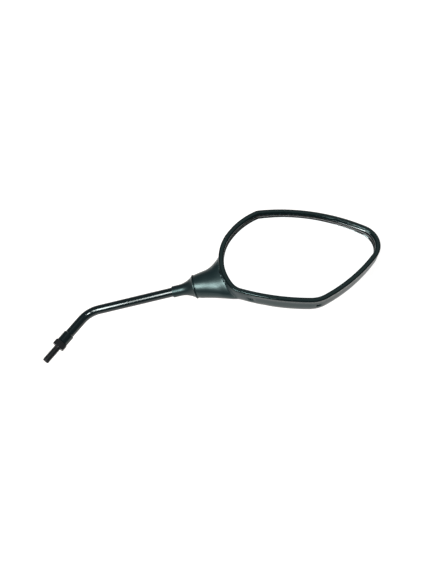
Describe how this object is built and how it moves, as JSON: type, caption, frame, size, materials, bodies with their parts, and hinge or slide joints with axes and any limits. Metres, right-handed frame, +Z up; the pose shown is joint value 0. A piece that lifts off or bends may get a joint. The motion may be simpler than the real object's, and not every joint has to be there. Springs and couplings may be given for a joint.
{
  "type": "motorbike rear-view mirror",
  "caption": "Right-hand motorbike rear-view mirror: bent stem with threaded stud, lock nut, rubber boot, ball joint and a moulded head with a framed convex glass.",
  "frame": {"origin": "on the stud's axis at the seat, the lower face of the lock nut", "axes": "+Z up the stud's axis towards the head, +X outboard, the way the stem bends, and the glass looks towards -Y, to the rider"},
  "size_m": [0.2264, 0.0652, 0.3155],
  "materials": {
    "stem_paint": "gloss black enamel",
    "nut_zinc": "black zinc plate",
    "boot_rubber": "moulded black rubber",
    "housing_plastic": "satin black moulding",
    "bezel_plastic": "gloss black moulding",
    "mirror_coat": "silvered glass",
    "seal_rubber": "soft black strip",
    "ball_steel": "ground steel",
    "liner_nylon": "natural nylon",
    "cup_plastic": "filled nylon",
    "spring_steel": "oiled spring steel",
    "zinc_steel": "zinc plated steel",
    "foam": "soft grey foam"
  },
  "bodies": {
    "stem": {"stem_rod": "stem_paint", "stem_collar": "stem_paint", "pivot_ball": "ball_steel", "rubber_boot": "boot_rubber"},
    "nut": {"lock_nut": "nut_zinc"},
    "rear_half": {"liner_rear": "liner_nylon"},
    "front_half": {"liner_front": "liner_nylon"},
    "head": {"housing": "housing_plastic", "bezel": "bezel_plastic", "mirror_glass": "mirror_coat", "glass_seal": "seal_rubber", "foam_pad": "foam", "pressure_cup": "cup_plastic", "disc_springs": "spring_steel", "spring_plate": "zinc_steel", "plate_screws": "zinc_steel"}
  },
  "joints": [
    {"name": "nut_turn", "type": "hinge", "parent": "stem", "child": "nut", "pos_m": [0, 0, 0], "axis": [0, 0, 1], "continuous": true},
    {"name": "head_twist", "type": "hinge", "parent": "stem", "child": "rear_half", "pos_m": [0.09192, 0, 0.14192], "axis": [0.7071, 0, 0.7071], "range_deg": [-25, 25]},
    {"name": "head_pan", "type": "hinge", "parent": "rear_half", "child": "front_half", "pos_m": [0.09192, 0, 0.14192], "axis": [-0.7002, -0.1392, 0.7002], "range_deg": [-12, 12], "deforming": ["rubber_boot"]},
    {"name": "head_cant", "type": "hinge", "parent": "front_half", "child": "head", "pos_m": [0.09192, 0, 0.14192], "axis": [-0.0984, 0.9903, 0.0984], "range_deg": [-12, 12], "deforming": ["rubber_boot"]}
  ]
}
